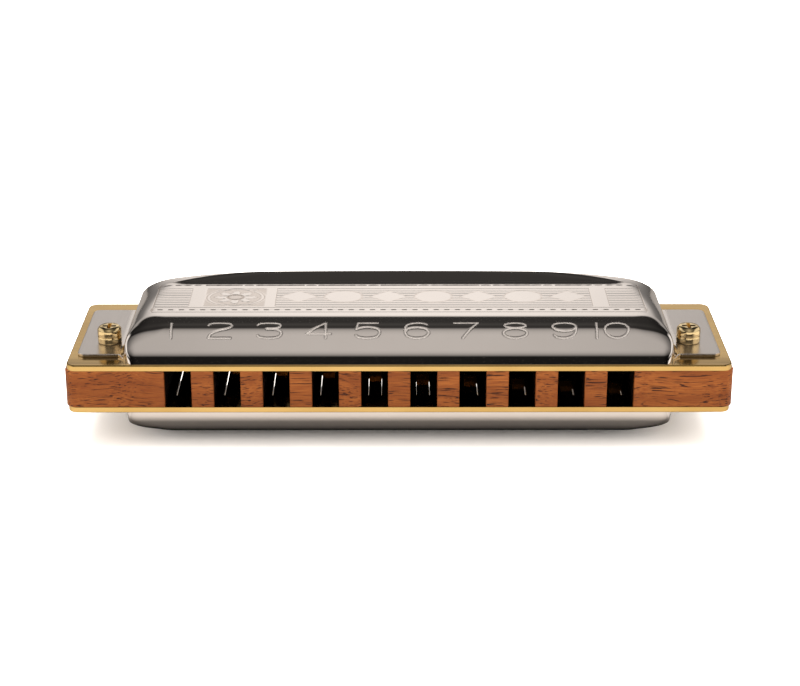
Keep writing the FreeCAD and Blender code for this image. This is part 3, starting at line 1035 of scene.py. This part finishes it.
def make_floor():
    mesh = bpy.data.meshes.new("studio_floor")
    mesh.from_pydata([(-4, -4, 0), (4, -4, 0), (4, 4, 0), (-4, 4, 0)], [], [(0, 1, 2, 3)])
    mesh.materials.append(floor_material())
    new_object("studio_floor", mesh)


# The studio that the metal reflects, by the angle up from the front and over: (degrees, grey).
STUDIO = [
    (0, 0.012), (22, 0.012), (30, 0.3), (40, 0.5), (52, 0.58), (70, 0.52), (82, 0.42), (90, 0.28),
    (97, 0.05), (104, 0.035), (122, 0.06), (150, 0.03), (156, 1.0), (164, 1.0), (172, 0.45), (180, 0.25),
]
# How the studio falls off sideways, and the two soft lights at its ends: (sideways part, factor or grey).
FALL_OFF = [(0.0, 1.0), (0.06, 0.98), (0.17, 0.78), (0.35, 0.42), (0.6, 0.2), (1.0, 0.2)]
END_LIGHTS = [(0.0, 0.0), (0.58, 0.0), (0.66, 0.9), (0.93, 0.9), (1.0, 0.2)]
WARM = (1.0, 0.955, 0.92)


class World(Nodes):
    """The world's node tree, with the same short calls."""

    def __init__(self, name):
        self.world = bpy.data.worlds.new(name)
        bpy.context.scene.world = self.world
        self.world.use_nodes = True
        self.tree = self.world.node_tree

    def grey_ramp(self, fac, stops, full=1.0):
        return self.ramp(fac, [(at / full, (grey, grey, grey)) for at, grey in stops])


def make_world():
    """What the metal mirrors, a softer and brighter light on the rest, and plain white behind it all."""
    w = World("studio")
    x, y, z = w.axes("Generated")
    turn = w.math("DIVIDE", w.math("ARCTAN2", z, w.math("MULTIPLY", y, -1.0)), math.pi)
    sideways = w.math("ABSOLUTE", x)
    bands = w.grey_ramp(turn, STUDIO, 180)
    fall = w.grey_ramp(sideways, FALL_OFF)
    ends = w.grey_ramp(sideways, END_LIGHTS)
    below = w.span(z, 1.0, 0.0, 0.64, 0.76)
    above = w.span(z, 0.0, 1.0, 0.08, 0.25)
    ends = w.math("MULTIPLY", ends, w.math("MULTIPLY", below, above))
    shiny = w.math("ADD", w.math("MULTIPLY", bands, fall), ends)
    front = w.span(y, 2.5, 1.6, -0.6, 0.3)
    soft = w.math("ADD", front, w.math("MULTIPLY", sideways, 0.6))
    rays = w.add("ShaderNodeLightPath")
    grey = w.mix(rays.outputs["Is Diffuse Ray"], shiny, soft)
    tinted = w.mix(1.0, grey, WARM, "MULTIPLY")
    seen = w.mix(rays.outputs["Is Camera Ray"], tinted, (0.98, 0.955, 0.92))
    w.link(seen, w.tree.nodes["Background"].inputs["Color"])


def make_lights():
    """A broad soft light overhead that lifts the floor and the wood, and leaves no glare."""
    lamp = bpy.data.lights.new("overhead", "AREA")
    lamp.shape = "DISK"
    lamp.size = 1.2
    lamp.energy = 26.0
    lamp.color = (1.0, 0.97, 0.94)
    made = new_object("overhead", lamp)
    made.location = (0.0, 0.1, 1.1)
    made.visible_glossy = False
    made.visible_camera = False


# The camera: place in mm, degrees that it looks down and turns, and focal length in mm.
CAMERA_AT = (-0.40, -292.0, 121.3 + LOW_PLATE_Z)
CAMERA_DOWN = 21.52
CAMERA_TURN = -0.108
FOCAL_LENGTH = 89.18


def make_camera():
    lens = bpy.data.cameras.new("camera")
    lens.sensor_width = 36.0
    lens.lens = FOCAL_LENGTH
    lens.clip_start = 0.01
    lens.clip_end = 20.0
    made = new_object("camera", lens)
    made.location = [value * MM for value in CAMERA_AT]
    made.rotation_euler = (math.radians(90 - CAMERA_DOWN), 0.0, math.radians(CAMERA_TURN))
    bpy.context.scene.camera = made


make_floor()
make_world()
make_lights()
make_camera()
bpy.context.scene.view_settings.view_transform = "Standard"
bpy.context.scene.view_settings.look = "None"
